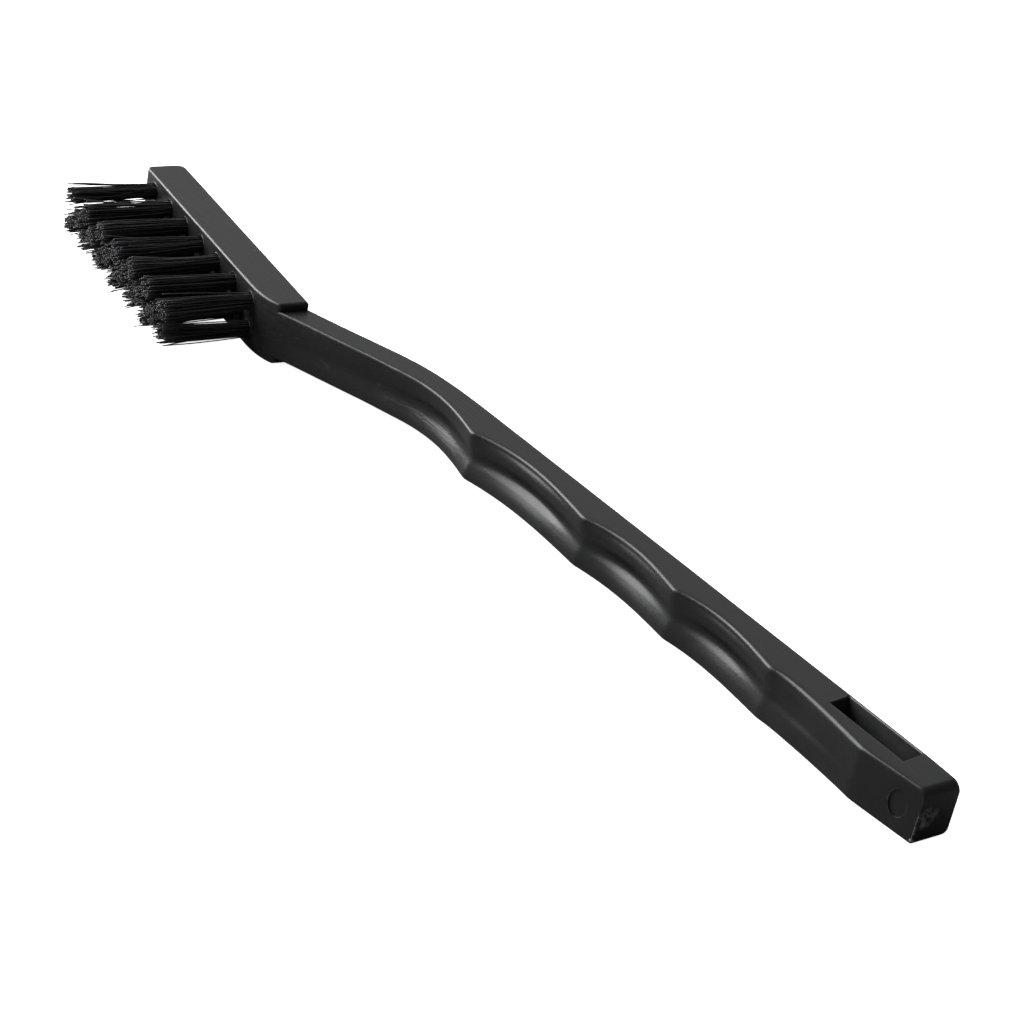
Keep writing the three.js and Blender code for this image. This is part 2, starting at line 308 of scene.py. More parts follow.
def head_object():
    """Rings of the outline stacked along z. Near each face the ring is drawn in along its own
    normals by a quarter circle, which rounds the edge."""
    line = head_outline()
    step = np.roll(line, -1, 0) - np.roll(line, 1, 0)
    normal = np.stack([step[:, 1], -step[:, 0]], 1)
    normal /= np.linalg.norm(normal, axis=1)[:, None]
    if np.sum(normal * (line - line.mean(0))) < 0:
        normal = -normal
    a = np.linspace(0, math.pi / 2, 7)
    inset = HEAD_EDGE * (1 - np.sin(a))
    height = HEAD_HALF_THICK - HEAD_EDGE * (1 - np.cos(a))
    middle = np.linspace(-1, 1, 9)[1:-1] * (HEAD_HALF_THICK - HEAD_EDGE)
    z = np.concatenate([-height, middle, height[::-1]])
    draw = np.concatenate([inset, np.zeros(len(middle)), inset[::-1]])
    rings = line[None] - draw[:, None, None] * normal[None]
    points = (HEAD_CORNER + rings[..., :1] * ALONG + rings[..., 1:] * OUT
              + np.broadcast_to(z[:, None, None], rings[..., :1].shape) * UP)
    n, m = rings.shape[:2]
    return mesh_object("head", in_frame(points.reshape(-1, 3)), ring_faces(n, m), end_caps(n, m))


def turn_outwards(obj):
    """Recalculates the normals, so that the faces of a closed piece all point outwards."""
    work = bmesh.new()
    work.from_mesh(obj.data)
    bmesh.ops.recalc_face_normals(work, faces=work.faces)
    work.to_mesh(obj.data)
    work.free()


# ---------------------------------------------------------------- cutters

def tuft_spots():
    """Name, distance along the face and height of each tuft: two rows of seven and one of six."""
    spots = []
    for i in range(7):
        along = TUFT_FIRST + i * TUFT_PITCH
        spots.append((f"upper_{i + 1}", along, TUFT_ROW_GAP))
        spots.append((f"lower_{i + 1}", along, -TUFT_ROW_GAP))
        if i < 6:
            spots.append((f"middle_{i + 1}", along + TUFT_PITCH / 2, 0.0))
    return spots


def turned(profile, origin, axis, side, other, count, name):
    """A closed solid of revolution: (radius, height) pairs turned about `axis` through `origin`."""
    profile = np.asarray(profile, float)
    a = np.linspace(0, 2 * math.pi, count, endpoint=False)
    circle = np.cos(a)[:, None] * side + np.sin(a)[:, None] * other
    points = origin + profile[:, 0, None, None] * circle[None] + profile[:, 1, None, None] * axis
    n = len(profile)
    quads = ring_faces(n, count)
    obj = mesh_object(name, in_frame(points.reshape(-1, 3)), quads, end_caps(n, count))
    turn_outwards(obj)
    return obj


def hole_cutter(along, z):
    """A round hole with a slightly broken rim."""
    r, rim = HOLE_RADIUS, HOLE_RADIUS + HOLE_CHAMFER
    profile = [(r, -HOLE_DEPTH), (r, -0.14), (rim, 0.02), (rim, 1.0)]
    origin = HEAD_CORNER + along * ALONG + z * UP
    return turned(profile, origin, OUT, ALONG, UP, HOLE_SIDES, "hole_cut")


def slot_cutter():
    """The hanging slot's box, flared by a small bevel at both mouths."""
    x0, x1 = SLOT["x"]
    y0, y1 = SLOT["y"]
    corner, mouth = SLOT["corner"], SLOT["bevel"]
    a = np.linspace(0, math.pi / 2, 4)
    line = np.concatenate([
        np.stack([x1 - corner + corner * np.cos(a), y1 - corner + corner * np.sin(a)], 1),
        np.stack([x0 + corner - corner * np.sin(a), y1 - corner + corner * np.cos(a)], 1),
        np.stack([x0 + corner - corner * np.cos(a), y0 + corner - corner * np.sin(a)], 1),
        np.stack([x1 - corner + corner * np.sin(a), y0 + corner - corner * np.cos(a)], 1),
    ])
    out = np.sign(line - line.mean(0))
    low = HALF_THICK + 0.3
    levels = [(-5.5, mouth), (-low, mouth), (-low + mouth, 0.0),
              (HALF_THICK - mouth, 0.0), (HALF_THICK, mouth), (5.0, mouth)]
    rings = [np.column_stack([line + out * grow, np.full(len(line), z)]) for z, grow in levels]
    points = in_frame(np.concatenate(rings))
    n, m = len(levels), len(line)
    obj = mesh_object("slot_cut", points, ring_faces(n, m), end_caps(n, m))
    turn_outwards(obj)
    return obj


def pin_cutter():
    """The shallow oval mark that an ejector pin leaves on the tail's front facet."""
    (xa, ya), (xb, yb) = GRIP_RIDGES[-2], GRIP_RIDGES[-1]
    slope = math.atan2(yb - ya, xb - xa)
    side = np.array([math.cos(slope), math.sin(slope), 0.0])
    axis = np.array([math.sin(slope), -math.cos(slope), 0.0])
    x = LENGTH - PIN_MARK["from_end"]
    origin = np.array([x, ya + (yb - ya) * (x - xa) / (xb - xa), 0.0])
    d = PIN_MARK["depth"]
    profile = [(0.96, -d), (1.0, -d + 0.04), (1.0, 1.0)]
    side = side * PIN_MARK["along"]
    other = UP * PIN_MARK["across"]
    return turned(profile, origin, axis, side, other, PIN_MARK["sides"], "pin_cut")


def combine(target, cutters, how):
    """Applies exact booleans one after the other and deletes the cutters."""
    for cutter in cutters:
        step = target.modifiers.new("join", "BOOLEAN")
        step.operation = how
        step.solver = "EXACT"
        step.object = cutter
    bpy.context.view_layer.update()
    graph = bpy.context.evaluated_depsgraph_get()
    made = bpy.data.meshes.new_from_object(target.evaluated_get(graph))
    target.modifiers.clear()
    old = target.data
    target.data = made
    bpy.data.meshes.remove(old)
    for cutter in cutters:
        data = cutter.data
        bpy.data.objects.remove(cutter)
        bpy.data.meshes.remove(data)
    return target


def vertex_values(obj, name, values):
    """Stores one number for each vertex, which a material reads by name."""
    attribute = obj.data.attributes.new(name, "FLOAT", "POINT")
    attribute.data.foreach_set("value", values.ravel().astype(np.float32))


def edge_attribute(obj):
    """A value near 1 on rounded-over edges: how far each vertex stands out of its neighbours' mean,
    against the length of its edges."""
    mesh = obj.data
    count = len(mesh.vertices)
    co = np.empty(count * 3)
    mesh.vertices.foreach_get("co", co)
    co = co.reshape(-1, 3)
    normal = np.empty(count * 3)
    mesh.vertices.foreach_get("normal", normal)
    normal = normal.reshape(-1, 3)
    ends = np.empty(len(mesh.edges) * 2, np.int32)
    mesh.edges.foreach_get("vertices", ends)
    ends = ends.reshape(-1, 2)
    both = np.concatenate([ends, ends[:, ::-1]])
    delta = co[both[:, 1]] - co[both[:, 0]]
    length = np.linalg.norm(delta, axis=1)
    inward = -np.einsum("ij,ij->i", delta, normal[both[:, 0]]) / np.maximum(length, 1e-9)
    total = np.bincount(both[:, 0], inward, count)
    share = total / np.maximum(np.bincount(both[:, 0], minlength=count), 1)
    value = np.clip(share * 6, 0, 1)
    vertex_values(obj, "edge", value)


def handle_object():
    """The whole moulding: grip less slot and pin mark, head less tuft holes, joined into one."""
    head = head_object()
    turn_outwards(head)
    grip = grip_object()
    turn_outwards(grip)
    combine(grip, [slot_cutter(), pin_cutter()], "DIFFERENCE")
    combine(head, [hole_cutter(along, z) for _, along, z in tuft_spots()], "DIFFERENCE")
    combine(grip, [head], "UNION")
    grip.name = "moulded_handle"
    grip.data.set_sharp_from_angle(angle=SHARP_ANGLE["handle"])
    level = grip.modifiers.new("flat faces shade flat", "WEIGHTED_NORMAL")
    level.keep_sharp = True
    level.weight = 60
    edge_attribute(grip)
    return grip


# ---------------------------------------------------------------- bristles

FILAMENT_RADIUS = 0.088
FILAMENTS = 92
FILAMENT_SIDES = 6
FILAMENT_ROOT = -2.4  # filaments start this deep in the hole
LOOSE_TUFTS = ("upper_1", "lower_7")  # splayed corner tufts, which have lost filaments
LOST_FILAMENTS = 26
CUT_SCATTER = 0.5
LEAN = {"loose": 0.42, "tight": 0.2}  # sideways spread of the tips, one standard deviation
BOW = 0.16
STRAY_SHARE = 0.17
STRAY_LEAN = 2.9  # times the lean of the others
LONGEST_STRAY = {"end tuft": 0.1, "inner tuft": 0.9}  # past the trimmed length


def disc_packing(count, radius, source):
    """Points that fill a disc evenly: a golden-angle spiral with a little scatter."""
    k = np.arange(count) + 0.5
    r = radius * np.sqrt(k / count)
    a = k * math.pi * (3 - math.sqrt(5)) + source.uniform(0, 2 * math.pi)
    spread = source.normal(0, 0.03, (count, 2))
    return np.stack([r * np.cos(a), r * np.sin(a)], 1) + spread


def tuft_object(name, along, z, source):
    """A bundle of filaments. Each is a tube whose centre starts in the hole and leaves the face
    along `OUT`; the bundle fans out with the 1.4th power of the distance, and every filament adds
    a lean, a bend and a cut length of its own. A few strays lean well clear of the rest."""
    loose = name in LOOSE_TUFTS
    count = FILAMENTS - LOST_FILAMENTS * loose
    base = disc_packing(count, HOLE_RADIUS - 0.12, source)
    t = np.linspace(0, 1, 9)
    length = TUFT_LENGTH - np.abs(source.normal(0, CUT_SCATTER, count)) - 0.05
    stray = source.random(count) < STRAY_SHARE
    longest = LONGEST_STRAY["end tuft" if name[-1] in "17" else "inner tuft"]
    length = np.where(stray, TUFT_LENGTH - 0.1 + source.uniform(-2.4, longest, count), length)
    height = FILAMENT_ROOT + t[None, :] * (length[:, None] - FILAMENT_ROOT)
    free = np.clip(height / TUFT_LENGTH, 0, None)
    fan = (TIP_RADIUS / HOLE_RADIUS - 1) * source.uniform(0.7, 1.15) + source.normal(0, 0.12, count)
    whole = source.normal(0, 0.2, 2)
    own = source.normal(0, LEAN["loose" if loose else "tight"], (count, 2))
    own = np.where(stray[:, None], own * STRAY_LEAN, own)
    bow = source.normal(0, BOW, (count, 2))
    side = (base[:, None, :] * (1 + fan[:, None, None] * free[..., None] ** 1.4)
            + (whole + own)[:, None, :] * free[..., None] ** 1.5
            + bow[:, None, :] * (free * (1 - free) * 4)[..., None])
    # |side| / (1 + |side / reach|^6)^(1/6) keeps every filament in the brush's own width and length
    reach = np.array([1.55 if along == TUFT_FIRST else 3.0, 2.4])
    side = side / (1 + (np.abs(side) / reach) ** 6) ** (1 / 6)
    centre = (HEAD_CORNER + along * ALONG + z * UP + side[..., :1] * ALONG + side[..., 1:] * UP
              + height[..., None] * OUT)
    radius = np.full(len(t) + 1, FILAMENT_RADIUS)
    radius[-1] *= 0.72
    centre = np.concatenate([centre, centre[:, -1:] + 0.03 * OUT], 1)
    a = np.linspace(0, 2 * math.pi, FILAMENT_SIDES, endpoint=False)
    circle = np.cos(a)[:, None] * ALONG + np.sin(a)[:, None] * UP
    points = centre[:, :, None, :] + radius[None, :, None, None] * circle[None, None]
    rings = points.shape[1]
    per = rings * FILAMENT_SIDES
    shift = (np.arange(count) * per)[:, None, None]
    quads = (ring_faces(rings, FILAMENT_SIDES)[None] + shift).reshape(-1, 4)
    ends = np.array(end_caps(rings, FILAMENT_SIDES))
    caps = (ends[None] + shift).reshape(-1, FILAMENT_SIDES)
    obj = mesh_object("bristles_" + name, in_frame(points.reshape(-1, 3)), quads, caps.tolist())
    turn_outwards(obj)
    tip = np.zeros((count, rings, FILAMENT_SIDES))
    tip[:, -1] = 1.0
    vertex_values(obj, "tip", tip)
    vertex_values(obj, "strand", np.repeat(source.random(count), per))
    obj.data.set_sharp_from_angle(angle=SHARP_ANGLE["filament"])
    return obj


# ---------------------------------------------------------------- small moulding marks

def hole_burrs(source):
    """The ragged plastic pushed up round each hole: rings whose height is a few mixed sines."""
    a = np.linspace(0, 2 * math.pi, 40, endpoint=False)
    t = np.linspace(0, math.pi, 6)
    parts, faces, start = [], [], 0
    for _, along, z in tuft_spots():
        phase = source.uniform(0, 6.28, 4)
        ragged = (0.5 + 0.25 * np.sin(3 * a + phase[0]) + 0.2 * np.sin(7 * a + phase[1])
                  + 0.15 * np.sin(13 * a + phase[2]))
        tall = 0.13 * np.clip(ragged, 0.05, None)
        wide = 0.1 + 0.05 * np.sin(5 * a + phase[3])
        r = HOLE_RADIUS + HOLE_CHAMFER + 0.05 - np.cos(t)[:, None] * wide[None, :]
        h = -0.03 + np.sin(t)[:, None] * tall[None, :]
        ring = (HEAD_CORNER + along * ALONG + z * UP
                + (r * np.cos(a))[..., None] * ALONG + (r * np.sin(a))[..., None] * UP
                + h[..., None] * OUT)
        parts.append(ring.reshape(-1, 3))
        n, m = ring.shape[:2]
        quads = ring_faces(n, m, start)
        j = np.arange(m)
        close = np.stack([start + (n - 1) * m + j, start + (n - 1) * m + (j + 1) % m,
                          start + (j + 1) % m, start + j], 1)
        faces.append(np.concatenate([quads, close]))
        start += n * m
    obj = mesh_object("hole_burrs", in_frame(np.concatenate(parts)), np.concatenate(faces))
    turn_outwards(obj)
    return obj


def gate_mark(source):
    """Where the sprue broke off the end face: a low mound over a disc whose height is a dome times
    the crests of many mixed waves, so that it looks torn, and whose back lies inside the end."""
    rings, around = 34, 96
    r = np.linspace(0.02, 1.0, rings)
    a = np.linspace(0, 2 * math.pi, around, endpoint=False)
    grid = np.zeros((rings, around))
    for _ in range(34):
        kx, ky = source.normal(0, 11.0, 2)
        grid += np.sin(kx * r[:, None] * np.cos(a) + ky * r[:, None] * np.sin(a)
                       + source.uniform(0, 6.28)) / 5.8
    dome = np.clip(1 - r ** 2, 0, 1)[:, None] ** 0.35
    height = np.clip(dome * (0.1 + 0.13 * np.clip(grid, -1.0, 1.2)), -0.05, 0.24)
    wide = 1 + 0.13 * np.sin(3 * a + 1.0) + 0.09 * np.sin(5 * a) + 0.06 * np.sin(11 * a + 2.0)
    y = GATE_MARK["y"] + r[:, None] * wide * np.cos(a) * GATE_MARK["across"]
    z = GATE_MARK["z"] + r[:, None] * wide * np.sin(a) * GATE_MARK["up"]
    top = np.stack([slanted(LENGTH, y) + height - 0.02 * (r[:, None] > 0.97), y, z], -1)
    under = np.stack([slanted(LENGTH, y[-1]) - GATE_MARK["root"], y[-1], z[-1]], -1)
    points = in_frame(np.concatenate([top.reshape(-1, 3), under]))
    quads, caps = ring_faces(rings + 1, around), end_caps(rings + 1, around)
    obj = mesh_object("gate_mark", points, quads, caps)
    turn_outwards(obj)
    return obj


def flash_line(source):
    """A ragged fin of plastic along the lower half of the end's front edge, ending in a nub: a
    tube whose centre follows the edge and whose radius wanders."""
    count, sides = 90, FLASH["sides"]
    s = np.linspace(0, 1, count)
    wander = np.zeros(count)
    for k in (5, 11, 19, 31, 47):
        wander += np.sin(k * s * 3.1 + source.uniform(0, 6.28)) * 0.25
    nub = FLASH["nub"] * np.exp(-((s - 0.955) / 0.035) ** 2)
    radius = FLASH["radius"] + 0.08 * wander + nub
    radius = np.clip(radius, 0.03, 0.36)
    radius[0] = radius[-1] = 0.02
    z = FLASH["from_z"] - s * (HALF_THICK + 0.75)
    y = FLASH["y"] + 0.07 * wander
    x = slanted(LENGTH, y) - 0.1 + 0.06 * wander
    centre = np.stack([x, y, z], 1)
    a = np.linspace(0, 2 * math.pi, sides, endpoint=False)
    circle = np.stack([np.cos(a), np.sin(a), 0 * a], 1)
    points = centre[:, None] + radius[:, None, None] * circle[None]
    quads, caps = ring_faces(count, sides), end_caps(count, sides)
    obj = mesh_object("end_flash", in_frame(points.reshape(-1, 3)), quads, caps)
    turn_outwards(obj)
    return obj


# ---------------------------------------------------------------- materials

MOULDED_BLACK = ((0.0085, 0.0087, 0.009), (0.0125, 0.0127, 0.013))  # darkest and palest blotch
# pale colour painted along rounded edges: a painted highlight
PAINTED_EDGE_HIGHLIGHT = (0.055, 0.056, 0.057)
TORN_CREST = (0.16, 0.16, 0.155)
SCRATCH = (0.14, 0.14, 0.135)
NYLON_BLACK = ((0.0135, 0.0138, 0.0158), (0.0215, 0.0219, 0.0246))  # darkest and palest strand
# pale colour painted on the filament tips: a painted highlight
PAINTED_TIP_HIGHLIGHT = (0.24, 0.24, 0.24)
BRASS = ((0.5, 0.37, 0.16), (0.66, 0.52, 0.27))
FLOW_LINES = (76.0, 104.0)  # flow lines fade out between these places along the handle

def group(name, inputs, outputs):
    """A shader node group with named sockets, and its two end nodes."""
    tree = bpy.data.node_groups.new(name, "ShaderNodeTree")
    for label, kind, value in inputs:
        item = tree.interface.new_socket(label, in_out="INPUT", socket_type=kind)
        if value is not None:
            item.default_value = value
    for label, kind in outputs:
        tree.interface.new_socket(label, in_out="OUTPUT", socket_type=kind)
    return tree, tree.nodes.new("NodeGroupInput"), tree.nodes.new("NodeGroupOutput")


def maths(tree, operation, a, b=None, clamp=False):
    node = tree.nodes.new("ShaderNodeMath")
    node.operation = operation
    node.use_clamp = clamp
    for socket, value in zip(node.inputs, (a, b)):
        if value is None:
            continue
        if isinstance(value, (int, float)):
            socket.default_value = value
        else:
            tree.links.new(value, socket)
    return node.outputs[0]


def ramp(tree, value, low, high):
    """A soft step from 0 at `low` to 1 at `high`."""
    node = tree.nodes.new("ShaderNodeMapRange")
    node.interpolation_type = "SMOOTHSTEP"
    node.inputs["From Min"].default_value = low
    node.inputs["From Max"].default_value = high
    tree.links.new(value, node.inputs["Value"])
    return node.outputs["Result"]


def noise(tree, vector, scale, detail=3.0, rough=0.5):
    node = tree.nodes.new("ShaderNodeTexNoise")
    node.inputs["Scale"].default_value = scale
    node.inputs["Detail"].default_value = detail
    node.inputs["Roughness"].default_value = rough
    tree.links.new(vector, node.inputs["Vector"])
    return node.outputs["Fac"]


def mix_colour(tree, factor, a, b):
    """Colour a where the factor is 0 and b where it is 1; each is a tuple or a socket."""
    node = tree.nodes.new("ShaderNodeMix")
    node.data_type = "RGBA"
    tree.links.new(factor, node.inputs["Factor"])
    for socket, value in ((node.inputs[6], a), (node.inputs[7], b)):
        if isinstance(value, tuple):
            socket.default_value = (*value, 1.0)
        else:
            tree.links.new(value, socket)
    return node.outputs[2]


def grain_group():
    """Moulded grain: a fine pebble height, a blotchy gloss value and sparse pale specks."""
    tree, source, out = group(
        "moulded grain",
        [("Vector", "NodeSocketVector", None), ("Scale", "NodeSocketFloat", 1.0)],
        [("Height", "NodeSocketFloat"), ("Blotch", "NodeSocketFloat"),
         ("Specks", "NodeSocketFloat")],
    )
    scaled = tree.nodes.new("ShaderNodeVectorMath")
    scaled.operation = "SCALE"
    tree.links.new(source.outputs["Vector"], scaled.inputs[0])
    tree.links.new(source.outputs["Scale"], scaled.inputs["Scale"])
    at = scaled.outputs[0]
    fine = noise(tree, at, 2600.0, 2.0, 0.55)
    coarse = noise(tree, at, 520.0, 4.0, 0.55)
    height = maths(tree, "ADD", maths(tree, "MULTIPLY", fine, 0.45),
                   maths(tree, "MULTIPLY", coarse, 0.55))
    tree.links.new(height, out.inputs["Height"])
    tree.links.new(noise(tree, at, 85.0, 5.0, 0.6), out.inputs["Blotch"])
    cells = tree.nodes.new("ShaderNodeTexVoronoi")
    cells.inputs["Scale"].default_value = 210.0
    tree.links.new(at, cells.inputs["Vector"])
    near = ramp(tree, cells.outputs["Distance"], 0.085, 0.04)
    chosen = tree.nodes.new("ShaderNodeSeparateColor")
    tree.links.new(cells.outputs["Color"], chosen.inputs[0])
    rare = ramp(tree, chosen.outputs[0], 0.955, 0.975)
    tree.links.new(maths(tree, "MULTIPLY", near, rare), out.inputs["Specks"])
    return tree


def flow_group():
    """Flow lines: noise drawn out along the handle, fading away between Start and End."""
    tree, source, out = group(
        "flow lines",
        [("Vector", "NodeSocketVector", None), ("Start", "NodeSocketFloat", 0.0),
         ("End", "NodeSocketFloat", 1.0)],
        [("Height", "NodeSocketFloat")],
    )
    stretch = tree.nodes.new("ShaderNodeMapping")
    stretch.inputs["Scale"].default_value = (22.0, 1100.0, 1100.0)
    stretch.inputs["Rotation"].default_value = (0.0, 0.0, -0.28)  # along the sloping neck
    tree.links.new(source.outputs["Vector"], stretch.inputs["Vector"])
    lines = noise(tree, stretch.outputs[0], 1.0, 3.0, 0.55)
    split = tree.nodes.new("ShaderNodeSeparateXYZ")
    tree.links.new(source.outputs["Vector"], split.inputs[0])
    reach = tree.nodes.new("ShaderNodeMapRange")
    reach.interpolation_type = "SMOOTHSTEP"
    tree.links.new(split.outputs["X"], reach.inputs["Value"])
    tree.links.new(source.outputs["Start"], reach.inputs["From Min"])
    tree.links.new(source.outputs["End"], reach.inputs["From Max"])
    left = maths(tree, "SUBTRACT", 1.0, reach.outputs["Result"])
    tree.links.new(maths(tree, "MULTIPLY", lines, left), out.inputs["Height"])
    return tree


def scuff_group():
    """Thin scratches in random directions: the narrow crests of two stretched noises."""
    tree, source, out = group(
        "light scuffs",
        [("Vector", "NodeSocketVector", None)],
        [("Mask", "NodeSocketFloat")],
    )
    found = []
    for turn, scale in ((0.5, (60.0, 2200.0, 900.0)), (-0.9, (90.0, 1700.0, 1300.0))):
        stretch = tree.nodes.new("ShaderNodeMapping")
        stretch.inputs["Scale"].default_value = scale
        stretch.inputs["Rotation"].default_value = (0.3, 0.2, turn)
        tree.links.new(source.outputs["Vector"], stretch.inputs["Vector"])
        lines = noise(tree, stretch.outputs[0], 1.0, 1.0, 0.4)
        found.append(ramp(tree, lines, 0.7, 0.78))
    patch = ramp(tree, noise(tree, source.outputs["Vector"], 70.0, 2.0, 0.5), 0.52, 0.68)
    both = maths(tree, "MAXIMUM", found[0], found[1])
    tree.links.new(maths(tree, "MULTIPLY", both, patch), out.inputs["Mask"])
    return tree


def new_material(name):
    material = bpy.data.materials.new(name)
    material.use_nodes = True
    tree = material.node_tree
    return material, tree, tree.nodes["Principled BSDF"]


def use_group(tree, made, links=(), values=()):
    """Places a group in a material, with sockets linked or set by name."""
    node = tree.nodes.new("ShaderNodeGroup")
    node.node_tree = made
    for label, socket in links:
        tree.links.new(socket, node.inputs[label])
    for label, value in values:
        node.inputs[label].default_value = value
    return node


def attribute_value(tree, name):
    node = tree.nodes.new("ShaderNodeAttribute")
    node.attribute_name = name
    return node.outputs["Fac"]


def object_coordinates(tree):
    return tree.nodes.new("ShaderNodeTexCoord").outputs["Object"]


def relief(tree, shader, height, strength, depth):
    """Bends the shading normal by a height: fine relief that is too small to model."""
    bump = tree.nodes.new("ShaderNodeBump")
    bump.inputs["Strength"].default_value = strength
    bump.inputs["Distance"].default_value = depth
    tree.links.new(height, bump.inputs["Height"])
    tree.links.new(bump.outputs["Normal"], shader.inputs["Normal"])


def plastic_material(name, groups, rough, flow=True, grain=1.0, torn=0.0):
    """Black moulded plastic: near-black colour with faint blotches, satin gloss that varies, a
    painted highlight that makes rounded edges paler in patches, specks and scuffs, and a fine grain
    in the surface."""
    material, tree, shader = new_material(name)
    at = object_coordinates(tree)
    grained = use_group(tree, groups["grain"], [("Vector", at)], [("Scale", grain)])
    scuffed = use_group(tree, groups["scuff"], [("Vector", at)])
    edge = attribute_value(tree, "edge")
    # painted highlight: rounded edges are coloured paler, in patches, to stand in for the light
    # they catch; it also lowers the roughness a little there
    painted_edge_highlight = maths(tree, "MULTIPLY", ramp(tree, edge, 0.25, 0.9),
                 ramp(tree, grained.outputs["Blotch"], 0.3, 0.7))
    blotch = ramp(tree, grained.outputs["Blotch"], 0.3, 0.75)
    colour = mix_colour(tree, blotch, *MOULDED_BLACK)
    colour = mix_colour(tree, maths(tree, "MULTIPLY", painted_edge_highlight, 0.75), colour, PAINTED_EDGE_HIGHLIGHT)
    if torn:
        crest = ramp(tree, grained.outputs["Height"], 0.42, 0.62)
        crest = maths(tree, "MULTIPLY", maths(tree, "MAXIMUM", crest, painted_edge_highlight), torn)
        colour = mix_colour(tree, crest, colour, TORN_CREST)
    marks = maths(tree, "MAXIMUM", maths(tree, "MULTIPLY", grained.outputs["Specks"], 0.8),
                  maths(tree, "MULTIPLY", scuffed.outputs["Mask"], 0.18))
    colour = mix_colour(tree, marks, colour, SCRATCH)
    tree.links.new(colour, shader.inputs["Base Color"])
    gloss = maths(tree, "ADD", rough - 0.05, maths(tree, "MULTIPLY", blotch, 0.11))
    gloss = maths(tree, "SUBTRACT", gloss, maths(tree, "MULTIPLY", painted_edge_highlight, 0.05))
    gloss = maths(tree, "ADD", gloss, maths(tree, "MULTIPLY", marks, 0.2), clamp=True)
    tree.links.new(gloss, shader.inputs["Roughness"])
    height = maths(tree, "MULTIPLY", grained.outputs["Height"], 0.6)
    if flow:
        start, end = (float(in_frame([x, 0, 0])[0]) for x in FLOW_LINES)
        ends = [("Start", start), ("End", end)]
        flowing = use_group(tree, groups["flow"], [("Vector", at)], ends)
        height = maths(tree, "ADD", height, maths(tree, "MULTIPLY", flowing.outputs["Height"], 1.9))
    relief(tree, shader, height, 0.6, 0.08 * MM)
    shader.inputs["Specular IOR Level"].default_value = 0.36
    return material


def filament_material(groups):
    """Black nylon filament: each strand a little different, glossier than the handle, with a
    painted highlight that makes the cut tip pale."""
    material, tree, shader = new_material("nylon filament")
    strand = attribute_value(tree, "strand")
    tip = attribute_value(tree, "tip")
    at = object_coordinates(tree)
    grained = use_group(tree, groups["grain"], [("Vector", at)], [("Scale", 1.6)])
    colour = mix_colour(tree, strand, *NYLON_BLACK)
    # painted highlight: the cut ends are coloured pale to stand in for the light they catch
    cut = maths(tree, "MULTIPLY", ramp(tree, tip, 0.3, 1.0), 0.9)
    colour = mix_colour(tree, cut, colour, PAINTED_TIP_HIGHLIGHT)
    tree.links.new(colour, shader.inputs["Base Color"])
    gloss = maths(tree, "ADD", 0.36, maths(tree, "MULTIPLY", grained.outputs["Blotch"], 0.22))
    tree.links.new(gloss, shader.inputs["Roughness"])
    relief(tree, shader, grained.outputs["Height"], 0.3, 0.03 * MM)
    shader.inputs["Specular IOR Level"].default_value = 0.3
    return material


def wire_material(groups):
    """Flat drawn brass wire: metal with faint die lines and a slightly dulled, uneven sheen."""
    material, tree, shader = new_material("anchor wire")
    at = object_coordinates(tree)
    grained = use_group(tree, groups["grain"], [("Vector", at)], [("Scale", 3.0)])
    scuffed = use_group(tree, groups["scuff"], [("Vector", at)])
    colour = mix_colour(tree, grained.outputs["Blotch"], *BRASS)
    tree.links.new(colour, shader.inputs["Base Color"])
    gloss = maths(tree, "ADD", 0.26, maths(tree, "MULTIPLY", scuffed.outputs["Mask"], 0.3))
    tree.links.new(gloss, shader.inputs["Roughness"])
    shader.inputs["Metallic"].default_value = 1.0
    relief(tree, shader, grained.outputs["Height"], 0.2, 0.02 * MM)
    return material


def dress(obj, material, slot, *nodes):
    """Gives a piece its material, the body it rides on and the CAD nodes it replaces; the slot
    argument is not used.
    """
    obj.data.materials.clear()
    obj.data.materials.append(material)
    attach(obj, "root")
    if nodes:
        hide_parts(*nodes)


# ---------------------------------------------------------------- stage

SOFTBOXES = {
    "left softbox": {  # lights the hollows of the scoops
        "target": (95.0, -8.0, 0.0), "direction": (-0.96, -0.25, 0.12),
        "distance": 0.6, "width": 0.42, "height": 0.3, "power": 4.4,
    },
    "edge softbox": {  # draws a bright line along the rounded front edges
        "target": (95.0, -8.0, 0.0), "direction": (-0.63, -0.5, 0.6),
        "distance": 0.6, "width": 0.4, "height": 0.48, "power": 6.4,
    },
    "top softbox": {
        "target": (130.0, -4.0, 0.0), "direction": (-0.6, 0.55, 0.6),
        "distance": 0.75, "width": 0.8, "height": 0.7, "power": 0.9,
    },
}
AMBIENT = 0.17
FLOOR_REACH = 3.0  # metres from the middle to each side
FLOOR_SEEN = {"colour": (0.9, 0.9, 0.9), "glow": 0.93}  # what the camera gets
FLOOR_MIRRORED = (0.22, 0.22, 0.22)  # what the brush gets
CAMERA = {
    "look": (103.41, -9.7, 0.12), "azimuth": 46.45, "elevation": 30.04, "roll": 11.52,
    "distance": 0.3383, "lens": 87.9,
}


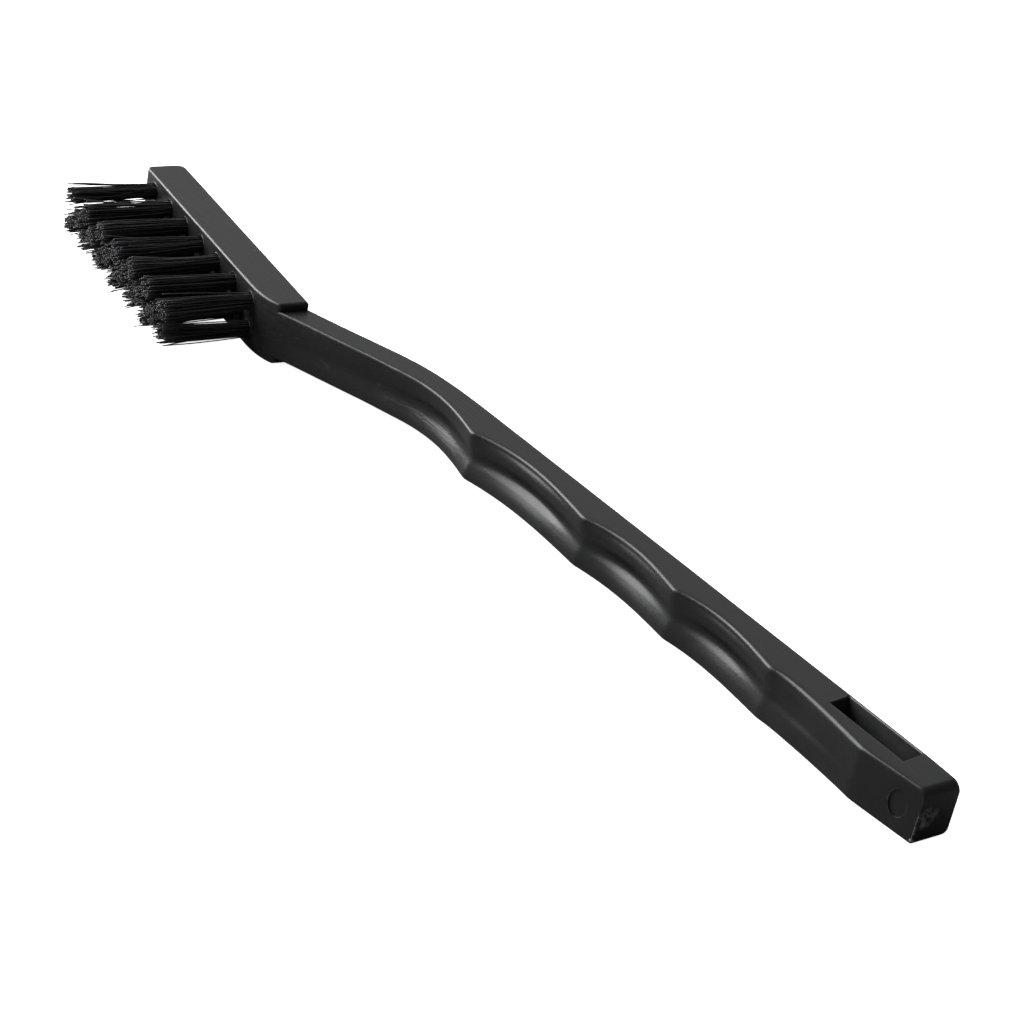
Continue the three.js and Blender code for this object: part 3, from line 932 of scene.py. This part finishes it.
def floor_object():
    """A wide pale plane that touches the head's lower shoulder edge and the tail's lower edge. It
    looks darker to the object than to the camera, so that a black object isn't washed out by it."""
    shoulder = in_frame([HEAD_LENGTH, 0, -HEAD_HALF_THICK])
    tail = in_frame([LENGTH, 0, -HALF_THICK - LOWER_SWELL[-1, 1]])
    slope = (tail[2] - shoulder[2]) / (tail[0] - shoulder[0])
    corners = FLOOR_REACH * np.array([[-1, -1], [1, -1], [1, 1], [-1, 1]])
    z = shoulder[2] + slope * (corners[:, 0] - shoulder[0]) - 0.00002
    floor = mesh_object("floor", np.column_stack([corners, z]), [[0, 1, 2, 3]], smooth=False)
    material, tree, shader = new_material("pale floor")
    ray = tree.nodes.new("ShaderNodeLightPath").outputs["Is Camera Ray"]
    colour = mix_colour(tree, ray, FLOOR_MIRRORED, FLOOR_SEEN["colour"])
    tree.links.new(colour, shader.inputs["Base Color"])
    shader.inputs["Emission Color"].default_value = (1.0, 1.0, 1.0, 1.0)
    glow = maths(tree, "MULTIPLY", ray, FLOOR_SEEN["glow"])
    tree.links.new(glow, shader.inputs["Emission Strength"])
    shader.inputs["Roughness"].default_value = 0.9
    shader.inputs["Specular IOR Level"].default_value = 0.1
    floor.data.materials.append(material)


def softbox(name, target, direction, distance, width, height, power):
    """A rectangular lamp (metres, watts) that faces a place on the brush from a direction."""
    direction = Vector(direction).normalized()
    data = bpy.data.lights.new(name, "AREA")
    data.shape = "RECTANGLE"
    data.size = width
    data.size_y = height
    data.energy = power
    light = bpy.data.objects.new(name, data)
    light.location = Vector(in_frame(target)) + direction * distance
    light.rotation_euler = direction.to_track_quat("Z", "Y").to_euler()
    bpy.context.scene.collection.objects.link(light)


def ambient_light(strength):
    """Even white light from all round."""
    world = bpy.data.worlds.new("studio")
    world.use_nodes = True
    background = world.node_tree.nodes["Background"]
    background.inputs["Color"].default_value = (1.0, 1.0, 1.0, 1.0)
    background.inputs["Strength"].default_value = strength
    bpy.context.scene.world = world


def camera_at(look, azimuth, elevation, roll, distance, lens):
    """A camera that looks at a place from an azimuth and elevation, rolled about its own axis."""
    az, el, turn = (math.radians(v) for v in (azimuth, elevation, roll))
    back = Vector((math.sin(az) * math.cos(el), -math.cos(az) * math.cos(el), math.sin(el)))
    level = Vector((math.cos(az), math.sin(az), 0.0))
    above = back.cross(level)
    right = math.cos(turn) * level + math.sin(turn) * above
    up = -math.sin(turn) * level + math.cos(turn) * above
    data = bpy.data.cameras.new("camera")
    data.lens = lens
    data.sensor_width = 36.0
    data.clip_start = 0.01
    data.clip_end = 20.0
    camera = bpy.data.objects.new("camera", data)
    place = Vector(in_frame(look)) + back * distance
    camera.matrix_world = Matrix((
        (right.x, up.x, back.x, place.x),
        (right.y, up.y, back.y, place.y),
        (right.z, up.z, back.z, place.z),
        (0.0, 0.0, 0.0, 1.0),
    ))
    bpy.context.scene.collection.objects.link(camera)
    bpy.context.scene.camera = camera


def main():
    groups = {"grain": grain_group(), "flow": flow_group(), "scuff": scuff_group()}
    plastic = plastic_material("black moulded plastic", groups, 0.37)
    torn = plastic_material("torn plastic", groups, 0.34, flow=False, grain=0.7, torn=0.65)
    nylon = filament_material(groups)
    wire = wire_material(groups)

    dress(handle_object(), plastic, "moulded_plastic", "handle")
    for name, along, z in tuft_spots():
        tuft = tuft_object(name, along, z, rng)
        dress(tuft, nylon, "nylon_filament", "tuft_" + name)
        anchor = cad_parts["anchor_" + name]
        anchor.data.materials.clear()
        anchor.data.materials.append(wire)
    marks = ((hole_burrs(rng), plastic), (gate_mark(rng), torn), (flash_line(rng), torn))
    for piece, look in marks:
        edge_attribute(piece)
        dress(piece, look, "moulded_plastic")

    floor_object()
    for name, box in SOFTBOXES.items():
        softbox(name, **box)
    ambient_light(AMBIENT)
    camera_at(**CAMERA)
    bpy.context.scene.view_settings.view_transform = "Standard"


main()
